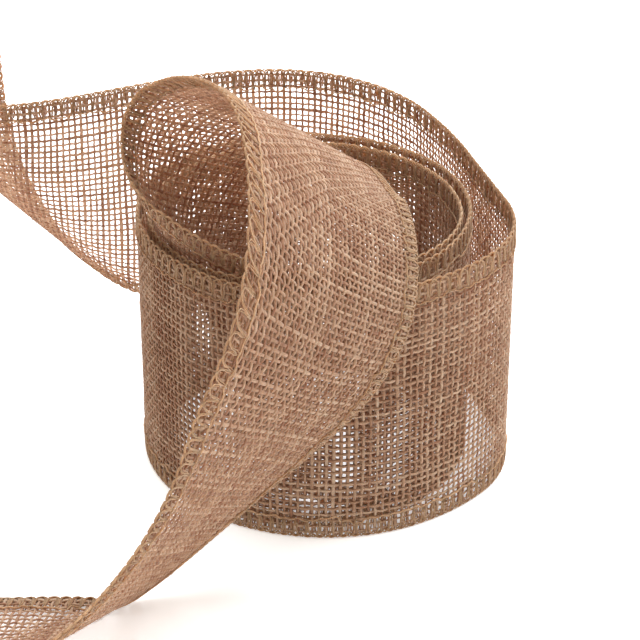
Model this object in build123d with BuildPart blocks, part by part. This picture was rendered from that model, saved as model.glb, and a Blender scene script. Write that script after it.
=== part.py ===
from build123d import *
import os
from math import radians

os.makedirs("parts", exist_ok=True)

# A loose roll of open-weave ribbon with stitched edges. It stands on one edge, and both of its
# ends are pulled free: the outer end sweeps off behind the roll, and the inner end curls up out
# of the middle, hangs over the front rim and turns over onto the table.
# Millimetres; +X right, +Y back, +Z up. The table is Z = 0, and the origin is the foot of the outer
# turn at the front of the roll, so the roll's own axis stands about 42 mm behind it.

# ---- the ribbon ----
WIDTH = 60.0  # edge to edge
CLOTH = 0.5  # thickness of the open weave
BORDER = 1.0  # thickness of a stitched edge, with thread over both faces
BORDER_DEPTH = 5.5  # how far the stitching reaches in from the edge
HEM = 1.0  # thread standing out past the cut edge of the weave
SLACK = 0.1  # room for the weave between the two faces of the stitching

# ---- how closely the free ends are drawn ----
STEP = 1.0  # spacing of the rungs worked out along the ribbon, and the gap at a fold that moves
SECTION_EVERY = 5  # rungs between the sections of a solid

# ---- the route, followed from the front of the outer turn ----
# Bends are degrees for every centimetre of ribbon, clockwise seen from above.
FRONT = (0, 0)
LEFT = (-1, 0)
RIGHT = (1, 0)

# The roll: (length, bend) of each arc.
SIDE_ARCS = [(20, -14.2), (20, -11.6), (25, -22.1), (25, 0.3), (25, -4.7)]
OUTER_ARCS = [(50, 14.0), (50, 16.2)]
MIDDLE_ARCS = [(50, 15.9), (100, 16.4), (50, 17.6)]
INNER_ARCS = [(85, 17.1), (25, 21.4)]

# The free ends: (distance, bend, slant, twist, steer). The slant leans the straight line across
# the ribbon forward, so that the bend turns into a curl; twist and steer are what the open weave
# gives by stretching, also in degrees for every centimetre.
OUTER_END = [
    (0, -13.5, 0.0, 0, 0),
    (20, -13.5, 0.0, 0, 0),
    (40, -17.5, 0.0, 0, 0),
    (60, -9.0, 0.25, 0, 0),
    (80, 10.0, 0.65, 0, 0),
    (100, 19.0, 0.9, 0, 0),
    (120, 11.5, 1.0, 0, 0),
    (140, 6.5, 1.0, 0, 0),
    (160, 8.5, 1.1, 0, 0),
    (180, 14.0, 1.2, 0, 0),
    (210, 15.5, 1.3, 0, 0),
]
INNER_END = [
    (0, 24.0, 0.0, 0.0, 0.0),
    (25, 18.0, 0.0, -6.5, 4.5),
    (50, 17.0, 0.45, -9.0, 4.0),
    (75, 26.0, 0.5, 0.0, 5.5),
    (100, 22.0, 0.3, 3.5, 0.0),
    (125, 12.5, 0.6, -1.0, 0.5),
    (150, 9.5, 0.75, 6.5, -7.5),
    (175, 17.0, 0.4, 4.0, -5.5),
    (200, 4.0, 0.2, -5.5, 3.0),
    (225, 1.0, 0.15, -2.5, 2.0),
    (250, 11.0, 0.25, 1.0, -0.5),
    (275, 6.0, 0.85, -0.5, -1.5),
    (300, 0.5, 1.5, -1.5, -0.5),
    (325, 2.5, 1.65, 0.5, -1.0),
    (350, -1.0, 1.2, 0.0, 0.0),
    (375, 0.5, 0.7, 0.0, 0.0),
    (400, 0.0, 0.0, 0.0, 0.0),
]
# rungs where the free ends fold, and where the strip over the rim starts
OUTER_TIP_FOLD = 130
STRIP_START = 120
TAIL_FOLD = 225
TAIL_TIP_FOLD = 300


def arc_line(start, heading, arcs):
    """Draw the arcs end to end in the open BuildLine and return where and how they end."""
    for length, bend in arcs:
        radius = 10 / radians(abs(bend))
        arc = JernArc(start, heading, radius, -bend * length / 10)
        start = arc @ 1
        heading = arc % 1
    return start, heading


def rates_at(stations, distance):
    """Bend, slant, twist and steer at one distance, shared out between the stations."""
    for (before, *low), (after, *high) in zip(stations, stations[1:]):
        if distance <= after:
            share = (distance - before) / (after - before)
            return [a + (b - a) * share for a, b in zip(low, high)]
    return stations[-1][1:]


def follow(start, heading, stations):
    """Walk along a free end and return its rungs: (centre, along, across, slant) at each step."""
    centre = Vector(start.X, start.Y, WIDTH / 2)
    along = Vector(heading.X, heading.Y, 0)
    across = Vector(0, 0, 1)
    rungs = []
    for number in range(int(stations[-1][0] / STEP) + 1):
        distance = number * STEP
        rungs.append((centre, along, across, rates_at(stations, distance)[1]))
        bend, slant, twist, steer = rates_at(stations, distance + STEP / 2)
        spin = (across + along * slant) * -bend + along * twist + along.cross(across) * steer
        if spin.length > 0:
            axis = Axis((0, 0, 0), spin)
            turn = spin.length * STEP / 10
            centre = centre + along.rotate(axis, turn / 2) * STEP
            along = along.rotate(axis, turn)
            across = across.rotate(axis, turn)
        else:
            centre = centre + along * STEP
    return rungs


def rung_plane(rung):
    """The plane of one rung: x runs along it towards the top edge and y stands off the cloth."""
    centre, along, across, slant = rung
    line = across + along * slant
    face = along.cross(across)
    return Plane(centre, x_dir=line, z_dir=line.cross(face))


def stretch(outline, rungs, label):
    """Loft one closed outline, (across the width, off the cloth), through the rungs."""
    chosen = list(range(0, len(rungs) - 1, SECTION_EVERY)) + [len(rungs) - 1]
    with BuildPart() as piece:
        for number in chosen:
            reach = (1 + rungs[number][3] ** 2) ** 0.5
            with BuildSketch(rung_plane(rungs[number])):
                with BuildLine():
                    Polyline([(v * reach, off) for v, off in outline], close=True)
                make_face()
        loft(ruled=True)
    piece.part.label = label
    export_step(piece.part, "parts/" + label + ".step")


# Outlines of the ribbon's three strips, seen along it.
HALF = WIDTH / 2
WEAVE_OUTLINE = [
    (-HALF + HEM, -CLOTH / 2),
    (HALF - HEM, -CLOTH / 2),
    (HALF - HEM, CLOTH / 2),
    (-HALF + HEM, CLOTH / 2),
]
POCKET = (CLOTH + SLACK) / 2
TOP_OUTLINE = [
    (HALF - BORDER_DEPTH, POCKET),
    (HALF - BORDER_DEPTH, BORDER / 2),
    (HALF, BORDER / 2),
    (HALF, -BORDER / 2),
    (HALF - BORDER_DEPTH, -BORDER / 2),
    (HALF - BORDER_DEPTH, -POCKET),
    (HALF - HEM + SLACK / 2, -POCKET),
    (HALF - HEM + SLACK / 2, POCKET),
]
BOTTOM_OUTLINE = [(-v, off) for v, off in TOP_OUTLINE]


def free_stretch(rungs, name):
    """The weave and both stitched edges of one stretch of a free end."""
    stretch(WEAVE_OUTLINE, rungs, name + "_weave")
    stretch(TOP_OUTLINE, rungs, name + "_top_stitching")
    stretch(BOTTOM_OUTLINE, rungs, name + "_bottom_stitching")


def upright_stretch(routes, name):
    """The weave and both stitched edges of one stretch of the roll; returns where its routes end."""
    ends = []
    with BuildPart() as weave:
        with BuildSketch(Plane.XY.offset(HEM)):
            for start, heading, arcs in routes:
                with BuildLine() as line:
                    ends.append(arc_line(start, heading, arcs))
                trace(line_width=CLOTH)
        extrude(amount=WIDTH - 2 * HEM)
    weave.part.label = name + "_weave"
    export_step(weave.part, "parts/" + name + "_weave.step")

    for edge, base, pocket_base in (
        ("bottom", 0, HEM - SLACK / 2),
        ("top", WIDTH - BORDER_DEPTH, WIDTH - BORDER_DEPTH),
    ):
        with BuildPart() as border:
            with BuildSketch(Plane.XY.offset(base)):
                for start, heading, arcs in routes:
                    with BuildLine():
                        arc_line(start, heading, arcs)
                    trace(line_width=BORDER)
            extrude(amount=BORDER_DEPTH)
            with BuildSketch(Plane.XY.offset(pocket_base)):
                for start, heading, arcs in routes:
                    with BuildLine():
                        arc_line(start, heading, arcs)
                    trace(line_width=CLOTH + SLACK)
            extrude(amount=BORDER_DEPTH - HEM + SLACK / 2, mode=Mode.SUBTRACT)
        border.part.label = name + "_" + edge + "_stitching"
        export_step(border.part, "parts/" + border.part.label + ".step")
    return ends


# ---- the roll, from the outside in ----
side_end, outer_end = upright_stretch(
    [(FRONT, RIGHT, SIDE_ARCS), (FRONT, LEFT, OUTER_ARCS)], "outer_turn"
)
(middle_end,) = upright_stretch([(*outer_end, MIDDLE_ARCS)], "middle_turn")
(inner_end,) = upright_stretch([(*middle_end, INNER_ARCS)], "inner_turn")

# ---- the outer end, pulled away behind the roll ----
outer_rungs = follow(*side_end, OUTER_END)
free_stretch(outer_rungs[1:OUTER_TIP_FOLD], "outer_tail")
free_stretch(outer_rungs[OUTER_TIP_FOLD + 1 :], "outer_tail_tip")

# ---- the inner end, curled up out of the middle and down over the front ----
inner_rungs = follow(*inner_end, INNER_END)
free_stretch(inner_rungs[: STRIP_START + 1], "lead_loop")
free_stretch(inner_rungs[STRIP_START:TAIL_FOLD], "lead_strip")
free_stretch(inner_rungs[TAIL_FOLD + 1 : TAIL_TIP_FOLD], "lead_tail")
free_stretch(inner_rungs[TAIL_TIP_FOLD + 1 :], "lead_tail_tip")
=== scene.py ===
"""Ribbon spool: a loose roll of open-weave ribbon with overlocked edges, on a white table.

The ribbon is woven here thread by thread. Every thread is laid out on the flat ribbon first, and
then carried to where the ribbon goes, along the same route as the part's solids.
Millimetres until a mesh is made; +X right, +Y back, +Z up, and the table is Z = 0.
"""
import math
import bpy
import numpy as np
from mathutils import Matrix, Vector


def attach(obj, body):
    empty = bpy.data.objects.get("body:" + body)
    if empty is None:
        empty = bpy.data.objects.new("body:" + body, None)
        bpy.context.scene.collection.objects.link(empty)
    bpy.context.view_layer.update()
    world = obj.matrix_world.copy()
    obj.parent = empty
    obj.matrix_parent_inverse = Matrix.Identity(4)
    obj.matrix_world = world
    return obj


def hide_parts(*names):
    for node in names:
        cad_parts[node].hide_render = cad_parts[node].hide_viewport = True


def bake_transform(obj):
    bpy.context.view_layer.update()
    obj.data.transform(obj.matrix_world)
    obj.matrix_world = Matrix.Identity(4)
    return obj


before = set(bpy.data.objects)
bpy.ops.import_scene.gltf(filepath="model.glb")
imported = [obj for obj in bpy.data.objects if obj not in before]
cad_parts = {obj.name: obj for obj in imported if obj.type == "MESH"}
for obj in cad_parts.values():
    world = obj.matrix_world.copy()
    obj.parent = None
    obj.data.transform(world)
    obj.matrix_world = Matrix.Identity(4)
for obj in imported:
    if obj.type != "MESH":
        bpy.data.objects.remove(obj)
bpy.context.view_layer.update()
random = np.random.default_rng(60)

# ---- the ribbon, as in the part ----
WIDTH = 60.0
HALF = WIDTH / 2
HEM = 1.0  # thread standing out past the cut edge of the weave
FRONT = (0.0, 0.0)
STEP = 1.0  # spacing of the rungs worked out along the route

# Lengths in millimetres, and bends in degrees for every centimetre, clockwise seen from above.
# The arcs and both free ends repeat the part's. A program fitted them; they weren't chosen by hand,
# so they aren't a pattern to follow for a route.
SIDE_ARCS = [(20, -14.2), (20, -11.6), (25, -22.1), (25, 0.3), (25, -4.7)]
OUTER_ARCS = [(50, 14.0), (50, 16.2)]
MIDDLE_ARCS = [(50, 15.9), (100, 16.4), (50, 17.6)]
INNER_ARCS = [(85, 17.1), (25, 21.4)]

# The free ends: (distance, bend, slant, twist, steer).
OUTER_END = [
    (0, -13.5, 0.0, 0, 0),
    (20, -13.5, 0.0, 0, 0),
    (40, -17.5, 0.0, 0, 0),
    (60, -9.0, 0.25, 0, 0),
    (80, 10.0, 0.65, 0, 0),
    (100, 19.0, 0.9, 0, 0),
    (120, 11.5, 1.0, 0, 0),
    (140, 6.5, 1.0, 0, 0),
    (160, 8.5, 1.1, 0, 0),
    (180, 14.0, 1.2, 0, 0),
    (210, 15.5, 1.3, 0, 0),
]
INNER_END = [
    (0, 24.0, 0.0, 0.0, 0.0),
    (25, 18.0, 0.0, -6.5, 4.5),
    (50, 17.0, 0.45, -9.0, 4.0),
    (75, 26.0, 0.5, 0.0, 5.5),
    (100, 22.0, 0.3, 3.5, 0.0),
    (125, 12.5, 0.6, -1.0, 0.5),
    (150, 9.5, 0.75, 6.5, -7.5),
    (175, 17.0, 0.4, 4.0, -5.5),
    (200, 4.0, 0.2, -5.5, 3.0),
    (225, 1.0, 0.15, -2.5, 2.0),
    (250, 11.0, 0.25, 1.0, -0.5),
    (275, 6.0, 0.85, -0.5, -1.5),
    (300, 0.5, 1.5, -1.5, -0.5),
    (325, 2.5, 1.65, 0.5, -1.0),
    (350, -1.0, 1.2, 0.0, 0.0),
    (375, 0.5, 0.7, 0.0, 0.0),
    (400, 0.0, 0.0, 0.0, 0.0),
]
OUTER_TIP_FOLD = 130
STRIP_START = 120
TAIL_FOLD = 225
TAIL_TIP_FOLD = 300

# ---- the threads ----
PITCH = 1.5  # between yarns, both ways
YARN_WIDE = 0.31  # half the width of a yarn, which lies a little flat
YARN_THICK = 0.20
CRIMP = 0.19  # how far a yarn rises over and dips under the ones it crosses
STITCH = 2.55  # length of one overlock stitch
STRAND = 0.13  # half the thickness of the sewing thread
FIBRES = 3.0  # stray fibres for every millimetre of ribbon
FACE = 0.40  # how far off the middle of the cloth the sewing thread lies


# ---- the route ----
def turned(vector, axis, angle):
    """The vector turned about a unit axis."""
    onto_axis = axis * np.dot(axis, vector) * (1 - math.cos(angle))
    return vector * math.cos(angle) + np.cross(axis, vector) * math.sin(angle) + onto_axis


def upright_rungs(start, arcs):
    """Rungs (centre, along, across, slant) over arcs on the table, after the one that ends `start`."""
    centre, along, across, slant = start
    rungs = []
    for length, bend in arcs:
        for _ in range(int(length / STEP)):
            turn = -math.radians(bend) * STEP / 10
            centre = centre + STEP * turned(along, across, turn / 2)
            along = turned(along, across, turn)
            rungs.append((centre, along, across, slant))
    return rungs


def free_rungs(start, stations):
    """Rungs over a free end, whose rates are shared out between its stations."""
    places, *rates = np.array(stations, float).T

    def rates_at(distance):
        return [np.interp(distance, places, rate) for rate in rates]

    centre, along, across, _ = start
    rungs = []
    for number in range(int(places[-1] / STEP)):
        bend, slant, twist, steer = rates_at((number + 0.5) * STEP)
        spin = -bend * (across + slant * along) + twist * along + steer * np.cross(along, across)
        rate = np.linalg.norm(spin)
        if rate > 0:
            turn = math.radians(rate) * STEP / 10
            centre = centre + STEP * turned(along, spin / rate, turn / 2)
            along, across = turned(along, spin / rate, turn), turned(across, spin / rate, turn)
        else:
            centre = centre + STEP * along
        rungs.append((centre, along, across, rates_at((number + 1) * STEP)[1]))
    return rungs


def length_of(arcs):
    """How much ribbon a run of arcs takes."""
    return sum(length for length, bend in arcs)


def whole_route():
    """The ribbon from its outer tip to its inner tip, with 0 at the front of the outer turn."""
    foot = np.array([*FRONT, HALF])
    up = np.array([0.0, 0.0, 1.0])
    right = [(foot, np.array([1.0, 0.0, 0.0]), up, 0.0)]
    right += upright_rungs(right[-1], SIDE_ARCS)
    right += free_rungs(right[-1], OUTER_END)
    left = [(foot, np.array([-1.0, 0.0, 0.0]), up, 0.0)]
    left += upright_rungs(left[-1], OUTER_ARCS + MIDDLE_ARCS + INNER_ARCS)
    left += free_rungs(left[-1], INNER_END)
    # the right-hand side runs the other way along the ribbon
    backwards = [(centre, -along, across, -slant) for centre, along, across, slant in right[:0:-1]]
    rungs = backwards + left
    at = STEP * np.arange(1 - len(right), len(left))
    centre, along, across = (np.array([rung[k] for rung in rungs]) for k in range(3))
    slant = np.array([rung[3] for rung in rungs])
    return at, centre, along, across, slant


AT, CENTRE, ALONG, ACROSS, SLANT = whole_route()


def sampled(table, at):
    """A table of vectors along the route, read at any distance."""
    return np.stack([np.interp(at, AT, column) for column in table.T], -1)


def unit(vectors):
    """Each vector made one long."""
    return vectors / np.linalg.norm(vectors, axis=-1, keepdims=True)


def slant_at(at):
    """How far the straight line across the ribbon leans forward at a distance."""
    return np.interp(at, AT, SLANT)


def place(u, v, off):
    """Carry flat positions, u along the ribbon and v across it, to the route, with the cloth's normal."""
    u, v, off = np.broadcast_arrays(np.asarray(u, float), v, off)
    at = u - slant_at(u) * v * 0.5
    for _ in range(8):
        growth = (slant_at(at + 0.5) - slant_at(at - 0.5)) * v
        at = at - (at + slant_at(at) * v - u) / (1 + growth)
    inside = np.clip(at, AT[0], AT[-1])
    along = unit(sampled(ALONG, inside))
    across = unit(sampled(ACROSS, inside))
    normal = np.cross(along, across)
    lean = slant_at(inside)[..., None]
    points = sampled(CENTRE, inside) + (at - inside)[..., None] * along
    points = points + v[..., None] * (across + lean * along) + off[..., None] * normal
    return points, normal


# ---- threads into meshes ----
def drift(u, v):
    """How far the loose weave has shifted at a flat position: along the ribbon, and across it."""
    fade = np.clip((HALF - 3 - np.abs(v)) / 6, 0, 1)
    du = 0.20 * np.sin(u / 9.1 + 1.1 * np.sin(v / 6.3) + 0.4) + 0.13 * np.sin(u / 4.3 - v / 7.7)
    dv = 0.18 * np.sin(v / 6.9 + 0.9 * np.sin(u / 13.0) + 2.0) + 0.11 * np.sin(v / 3.7 + u / 17.0)
    return du * fade, dv * fade


def wandering(count, spacing, size):
    """A smooth random line of `count` values, about 1, with a new value every `spacing` of them."""
    knots = int(count / spacing) + 3
    values = 1 + size * random.standard_normal(knots)
    return np.clip(np.interp(np.arange(count) / spacing, np.arange(knots), values), 0.6, 1.5)


class Threads:
    """Closed tubes gathered into one mesh."""

    def __init__(self):
        self.tubes = []

    def add(self, points, normal, wide, thick, sides):
        """A tube along points, its flat side facing the normal."""
        forward = unit(np.gradient(points, axis=0))
        side = unit(np.cross(forward, normal))
        up = np.cross(side, forward)
        turn = np.arange(sides) * 2 * math.pi / sides
        rings = points[:, None] + (wide[:, None] * np.cos(turn))[..., None] * side[:, None]
        rings = rings + (thick[:, None] * np.sin(turn))[..., None] * up[:, None]
        length = np.concatenate([[0], np.cumsum(np.linalg.norm(np.diff(points, axis=0), axis=1))])
        self.tubes.append((rings, length + 1000 * random.random(), random.random()))

    def mesh(self, name):
        """One mesh of every tube, in metres, with a tint and a length along the thread at each point."""
        points, corners, sizes, maps, tints, lengths = [], [], [], [], [], []
        first = 0
        for row, (rings, length, tint) in enumerate(self.tubes):
            count, sides = rings.shape[:2]
            index = first + np.arange(count * sides).reshape(count, sides)
            after = np.roll(index, -1, axis=1)
            quads = np.stack([index[:-1], after[:-1], after[1:], index[1:]], -1)
            corners += [quads.ravel(), index[0, ::-1], index[-1]]
            sizes += [np.full((count - 1) * sides, 4), [sides, sides]]
            # a map with one row for each thread
            u = np.linspace(0.01, 0.99, count)
            v = (row + 0.1 + 0.8 * np.arange(sides + 1) / sides) / len(self.tubes)
            u_low, v_low = np.meshgrid(u[:-1], v[:-1], indexing="ij")
            u_high, v_high = np.meshgrid(u[1:], v[1:], indexing="ij")
            quad_u = np.stack([u_low, u_low, u_high, u_high], -1)
            quad_v = np.stack([v_low, v_high, v_high, v_low], -1)
            maps.append(np.stack([quad_u, quad_v], -1).reshape(-1, 2))
            maps.append(np.column_stack([np.full(sides, u[0]), v[:sides]]))
            maps.append(np.column_stack([np.full(sides, u[-1]), v[:sides]]))
            points.append(rings.reshape(-1, 3))
            tints.append(np.full(count * sides, tint))
            lengths.append(np.repeat(length, sides))
            first += count * sides
        points = np.concatenate(points)
        points[:, 2] = np.maximum(points[:, 2], 0.02)  # nothing sinks into the table
        corners = np.concatenate(corners)
        sizes = np.concatenate(sizes)
        mesh = bpy.data.meshes.new(name)
        mesh.vertices.add(len(points))
        mesh.vertices.foreach_set("co", (points / 1000).ravel())
        mesh.loops.add(len(corners))
        mesh.loops.foreach_set("vertex_index", corners)
        mesh.polygons.add(len(sizes))
        mesh.polygons.foreach_set("loop_start", np.concatenate([[0], np.cumsum(sizes)[:-1]]))
        mesh.polygons.foreach_set("loop_total", sizes)
        mesh.polygons.foreach_set("use_smooth", np.ones(len(sizes), bool))
        mesh.update(calc_edges=True)
        mesh.uv_layers.new(name="OFBake").data.foreach_set("uv", np.concatenate(maps).ravel())
        for attribute, values in (("tint", tints), ("length", lengths)):
            layer = mesh.attributes.new(attribute, "FLOAT", "POINT")
            layer.data.foreach_set("value", np.concatenate(values))
        return mesh


# ---- the weave ----
def add_yarn(threads, u, v, off):
    """One yarn through flat positions, thicker and thinner along its length."""
    du, dv = drift(u, v)
    points, normal = place(u + du, v + dv, off)
    own = 1 + 0.13 * random.standard_normal()
    slub = wandering(len(points), 5, 0.13) * np.clip(own, 0.7, 1.35)
    threads.add(points, normal, YARN_WIDE * slub, YARN_THICK * np.sqrt(slub), 6)


def weave(first, last):
    """The yarns between two rungs of the ribbon."""
    threads = Threads()
    low_slant, high_slant = slant_at(first), slant_at(last)
    count = int((WIDTH - 2 * HEM) / PITCH)
    for number in range(count + 1):
        v = (number - count / 2) * PITCH
        low, high = first + low_slant * v, last + high_slant * v
        u = np.linspace(low, high, max(2, int((high - low) / (PITCH / 2)) + 1))
        add_yarn(threads, u, np.full(len(u), v), CRIMP * np.cos(math.pi * (u / PITCH + number)))
    reach = HALF - HEM
    lowest = first - abs(low_slant) * reach
    highest = last + abs(high_slant) * reach
    for number in range(math.ceil(lowest / PITCH), math.ceil(highest / PITCH)):
        u = number * PITCH
        # the part of this yarn that lies between the two rungs
        low, high = -reach, reach
        for slant, limit in ((low_slant, u - first), (-high_slant, last - u)):
            if slant > 0:
                high = min(high, limit / slant)
            elif slant < 0:
                low = max(low, limit / slant)
            elif limit < 0:
                high = low
        if high - low < PITCH / 2:
            continue
        v = np.linspace(low, high, max(2, int((high - low) / (PITCH / 2)) + 1))
        across = v / PITCH + count / 2
        add_yarn(threads, np.full(len(v), u), v, -CRIMP * np.cos(math.pi * (number + across)))
    add_stray_fibres(threads, first, last)
    return threads


def add_stray_fibres(threads, first, last):
    """Loose fibres that stand out of the yarns on both faces, each one curling back to the cloth."""
    share = np.linspace(0, 1, 5)
    for _ in range(int(FIBRES * (last - first))):
        v = random.uniform(-HALF + 2, HALF - 2)
        at = random.uniform(first, last)
        turn = random.uniform(0, 2 * math.pi)
        length = random.uniform(1.2, 3.6)
        bow = length * random.uniform(-0.3, 0.3) * np.sin(math.pi * share)
        du = length * share * math.cos(turn) - bow * math.sin(turn)
        dv = length * share * math.sin(turn) + bow * math.cos(turn)
        rise = random.uniform(0.1, 0.5) * np.sin(0.8 * math.pi * share)
        face = random.choice((-1, 1))
        v = np.clip(v + dv, 1 - HALF, HALF - 1)
        points, normal = place(at + slant_at(at) * v + du, v, face * (CRIMP + 0.12 + rise))
        half = np.full(len(share), 0.04)
        threads.add(points, normal, half, half, 3)


# ---- the overlocked edges ----
# One stitch of each thread: (share of the stitch, distance in from the edge).
LOOP = [
    (0.0, 4.7),
    (0.1, 3.4),
    (0.1, 2.1),
    (0.2, 0.9),
    (0.5, 0.3),
    (0.8, 0.9),
    (0.9, 2.1),
    (0.9, 3.4),
]
SCALLOP = [(0.0, 1.05), (0.12, 0.62), (0.3, 0.3), (0.5, 0.2), (0.7, 0.3), (0.88, 0.62)]
CHAIN = [(0.0, 4.9), (0.25, 5.1), (0.5, 4.9), (0.75, 4.7)]


def add_stitches(threads, edge, low, high, shape, lift, shift, half, sides):
    """A row of one thread's stitches along an edge, +1 the top one, from low to high."""
    count = max(1, round((high - low) / STITCH))
    share, depth = np.array(shape).T
    start = low + (high - low) * np.arange(count) / count
    size = (high - low) / count
    wobble = 1 + 0.07 * random.standard_normal((count, 1))
    u = np.append((start[:, None] + share * size).ravel(), high)
    e = np.append((depth * wobble).ravel(), depth[0])
    off = np.append(np.tile(lift, count), lift[0])
    u = u + shift + 0.06 * random.standard_normal(len(u))
    v = edge * (HALF - np.maximum(e, 0.15))
    points, normal = place(u, v, off)
    threads.add(points, normal, np.full(len(u), half), np.full(len(u), half), sides)


def overlock(edge, first, last):
    """The sewing threads along one edge between two rungs."""
    threads = Threads()
    reach = edge * (HALF - 2.5)
    low, high = first + slant_at(first) * reach, last + slant_at(last) * reach
    depth = np.array(LOOP)[:, 1]
    fall = FACE * np.clip(depth / 1.2, 0, 1) ** 0.5
    for face in (1, -1):
        for strand in (-0.5, 0.5):
            shift = strand * 1.7 * STRAND + (0.5 * STITCH if face < 0 else 0)
            add_stitches(threads, edge, low, high, LOOP, face * fall, shift, STRAND, 5)
        lift = np.full(len(CHAIN), face * 1.2 * FACE)
        add_stitches(threads, edge, low, high, CHAIN, lift, 0, 1.3 * STRAND, 5)
    add_stitches(threads, edge, low, high, SCALLOP, np.zeros(len(SCALLOP)), 0, 1.7 * STRAND, 6)
    return threads


# ---- materials ----
def thread_material(name, slot, colours, fleck, through):
    """Spun yarn: colour that changes from thread to thread and along each one, and fine fibres."""
    material = bpy.data.materials.new(name)
    material.use_nodes = True
    nodes, links = material.node_tree.nodes, material.node_tree.links
    shader = nodes["Principled BSDF"]
    shader.inputs["Roughness"].default_value = 0.75
    shader.inputs["Specular IOR Level"].default_value = 0.35
    shader.inputs["Sheen Weight"].default_value = 0.35
    shader.inputs["Sheen Roughness"].default_value = 0.45

    tint = nodes.new("ShaderNodeAttribute")
    tint.attribute_name = "tint"
    length = nodes.new("ShaderNodeAttribute")
    length.attribute_name = "length"
    spread = nodes.new("ShaderNodeMath")
    spread.operation = "MULTIPLY"
    spread.inputs[1].default_value = 97.0
    links.new(tint.outputs["Fac"], spread.inputs[0])
    line = nodes.new("ShaderNodeCombineXYZ")
    links.new(length.outputs["Fac"], line.inputs["X"])
    links.new(spread.outputs[0], line.inputs["Y"])
    flecks = nodes.new("ShaderNodeTexNoise")
    flecks.inputs["Scale"].default_value = fleck
    flecks.inputs["Detail"].default_value = 3.0
    links.new(line.outputs[0], flecks.inputs["Vector"])
    mixed = nodes.new("ShaderNodeMath")
    mixed.operation = "MULTIPLY_ADD"
    mixed.inputs[1].default_value = 0.35
    links.new(tint.outputs["Fac"], mixed.inputs[0])
    links.new(flecks.outputs["Fac"], mixed.inputs[2])
    ramp = nodes.new("ShaderNodeValToRGB")
    ramp.color_ramp.elements[0].position = 0.42
    ramp.color_ramp.elements[1].position = 0.92
    ramp.color_ramp.elements[0].color = (*colours[0], 1)
    ramp.color_ramp.elements[1].color = (*colours[2], 1)
    ramp.color_ramp.elements.new(0.66).color = (*colours[1], 1)
    links.new(mixed.outputs[0], ramp.inputs[0])

    place_in_space = nodes.new("ShaderNodeTexCoord")
    fibres = nodes.new("ShaderNodeTexNoise")
    fibres.inputs["Scale"].default_value = 4600.0
    fibres.inputs["Detail"].default_value = 3.0
    links.new(place_in_space.outputs["Object"], fibres.inputs["Vector"])
    darker = nodes.new("ShaderNodeMapRange")
    darker.inputs["To Min"].default_value = 0.6
    darker.inputs["To Max"].default_value = 1.3
    links.new(fibres.outputs["Fac"], darker.inputs["Value"])
    shade = nodes.new("ShaderNodeVectorMath")
    shade.operation = "SCALE"
    links.new(ramp.outputs["Color"], shade.inputs[0])
    links.new(darker.outputs[0], shade.inputs["Scale"])
    links.new(shade.outputs[0], shader.inputs["Base Color"])
    bump = nodes.new("ShaderNodeBump")
    bump.inputs["Strength"].default_value = 0.8
    bump.inputs["Distance"].default_value = 0.00012
    links.new(fibres.outputs["Fac"], bump.inputs["Height"])
    links.new(bump.outputs["Normal"], shader.inputs["Normal"])

    # light that has come through a thread is warmer than light off its face
    warmer = nodes.new("ShaderNodeVectorMath")
    warmer.operation = "MULTIPLY"
    warmer.inputs[1].default_value = (1.08, 0.88, 0.68)
    links.new(shade.outputs[0], warmer.inputs[0])
    glow = nodes.new("ShaderNodeBsdfTranslucent")
    links.new(warmer.outputs[0], glow.inputs["Color"])
    both = nodes.new("ShaderNodeMixShader")
    both.inputs["Fac"].default_value = through
    links.new(shader.outputs[0], both.inputs[1])
    links.new(glow.outputs[0], both.inputs[2])
    links.new(both.outputs[0], nodes["Material Output"].inputs["Surface"])
    material["slot"] = slot
    return material


YARN = thread_material(
    "tan_yarn",
    "weave",
    colours=[(0.43, 0.215, 0.12), (0.58, 0.37, 0.235), (0.72, 0.54, 0.385)],
    fleck=0.33,
    through=0.42,
)
SEWING_THREAD = thread_material(
    "beige_thread",
    "stitching",
    colours=[(0.56, 0.37, 0.21), (0.66, 0.47, 0.285), (0.80, 0.64, 0.44)],
    fleck=0.2,
    through=0.55,
)


# ---- the pieces ----
def shown(threads, name, material):
    """The threads as one piece of the scene."""
    piece = bpy.data.objects.new(name, threads.mesh(name))
    bpy.context.scene.collection.objects.link(piece)
    piece.data.materials.append(material)
    return piece


side_end = -length_of(SIDE_ARCS)
outer_end = length_of(OUTER_ARCS)
middle_end = outer_end + length_of(MIDDLE_ARCS)
inner_end = middle_end + length_of(INNER_ARCS)
strip_start = inner_end + STRIP_START
tail_fold = inner_end + TAIL_FOLD
tip_fold = inner_end + TAIL_TIP_FOLD
outer_tip_fold = side_end - OUTER_TIP_FOLD
on_rim = ["outer_turn_top_thread"]

# name, first and last rung, the bodies it bends between, the fold, how it is held, what it rests on
STRETCHES = [
    ("outer_turn", side_end, outer_end, ["roll"], None, "folded", []),
    ("middle_turn", outer_end, middle_end, ["roll"], None, "folded", []),
    ("inner_turn", middle_end, inner_end, ["roll"], None, "folded", []),
    ("lead_loop", inner_end, strip_start, ["roll"], None, "folded", []),
    ("lead_strip", strip_start, tail_fold, ["roll"], None, "draped", on_rim),
    ("lead_tail", tail_fold, tip_fold, ["roll", "lead_tail"], (tail_fold, 1), "draped", []),
    ("lead_tail_tip", tip_fold, AT[-1], ["lead_tail", "lead_tail_tip"], (tip_fold, 1), "laid", []),
    ("outer_tail", outer_tip_fold, side_end, ["roll", "outer_tail"], (side_end, -1), "folded", []),
    (
        "outer_tail_tip",
        AT[0],
        outer_tip_fold,
        ["outer_tail", "outer_tail_tip"],
        (outer_tip_fold, -1),
        "folded",
        [],
    ),
]

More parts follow.
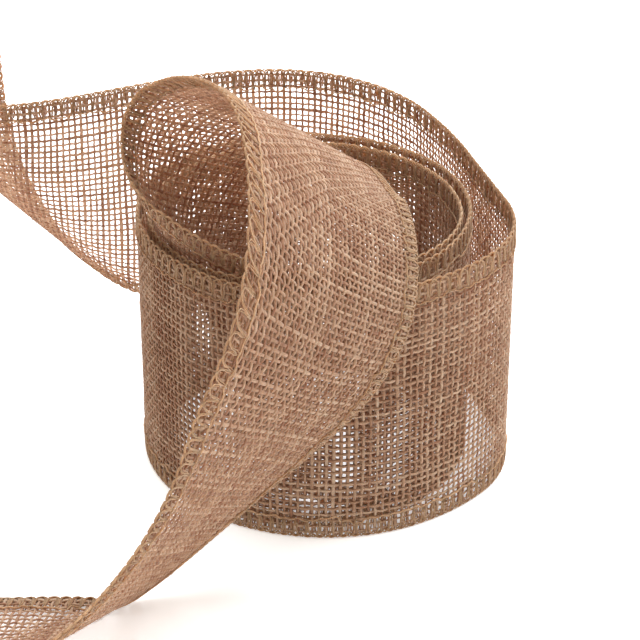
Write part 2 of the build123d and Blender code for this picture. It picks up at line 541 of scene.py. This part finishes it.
for name, first, last, bodies, fold, held, rests_on in STRETCHES:
    cloth = shown(weave(first, last), name + "_cloth", YARN)
    top = shown(overlock(1, first, last), name + "_top_thread", SEWING_THREAD)
    bottom = shown(overlock(-1, first, last), name + "_bottom_thread", SEWING_THREAD)
    for piece, node in ((cloth, "weave"), (top, "top_stitching"), (bottom, "bottom_stitching")):
        if fold is None:
            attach(piece, bodies[0])
        else:
            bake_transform(piece)
        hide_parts(name + "_" + node)


# ---- the table, the light and the camera ----
def floor_material():
    """Plain white, lit a little from within so that it has no edge."""
    material = bpy.data.materials.new("white_table")
    material.use_nodes = True
    shader = material.node_tree.nodes["Principled BSDF"]
    shader.inputs["Base Color"].default_value = (0.95, 0.95, 0.95, 1)
    shader.inputs["Roughness"].default_value = 0.9
    shader.inputs["Specular IOR Level"].default_value = 0.1
    shader.inputs["Emission Color"].default_value = (1, 1, 1, 1)
    shader.inputs["Emission Strength"].default_value = 0.4
    return material


def floor():
    """The table the ribbon stands on."""
    mesh = bpy.data.meshes.new("floor")
    mesh.from_pydata([(-4, -4, 0), (4, -4, 0), (4, 4, 0), (-4, 4, 0)], [], [(0, 1, 2, 3)])
    plane = bpy.data.objects.new("floor", mesh)
    bpy.context.scene.collection.objects.link(plane)
    plane.data.materials.append(floor_material())


def area_light(name, position, target, size, power, colour):
    """A soft square light that faces its target."""
    light = bpy.data.lights.new(name, "AREA")
    light.shape = "SQUARE"
    light.size = size
    light.energy = power
    light.color = colour
    lamp = bpy.data.objects.new(name, light)
    lamp.location = position
    direction = Vector(target) - Vector(position)
    lamp.rotation_euler = direction.to_track_quat("-Z", "Y").to_euler()
    bpy.context.scene.collection.objects.link(lamp)


floor()
world = bpy.data.worlds.new("studio")
world.use_nodes = True
world.node_tree.nodes["Background"].inputs["Color"].default_value = (1.0, 0.90, 0.76, 1)
world.node_tree.nodes["Background"].inputs["Strength"].default_value = 0.56
bpy.context.scene.world = world
bpy.context.scene.view_settings.view_transform = "Standard"
middle = (-0.02, 0.03, 0.03)
area_light("key", (0.2, 0.2, 1.4), middle, 1.3, 30, (0.92, 1.0, 1.06))
area_light("back", (0.1, 1.5, 0.8), middle, 1.3, 32, (1.0, 1.0, 1.0))

LOOK_AT = (-0.00137, 0.0419, 0.0295)
DISTANCE = 0.530
ELEVATION = math.radians(30)
camera_data = bpy.data.cameras.new("camera")
camera_data.lens = 134
camera_data.sensor_width = 36
camera_data.clip_start = 0.02
camera = bpy.data.objects.new("camera", camera_data)
camera.location = (
    LOOK_AT[0],
    LOOK_AT[1] - DISTANCE * math.cos(ELEVATION),
    LOOK_AT[2] + DISTANCE * math.sin(ELEVATION),
)
camera.rotation_euler = (math.pi / 2 - ELEVATION, 0, 0)
bpy.context.scene.collection.objects.link(camera)
bpy.context.scene.camera = camera
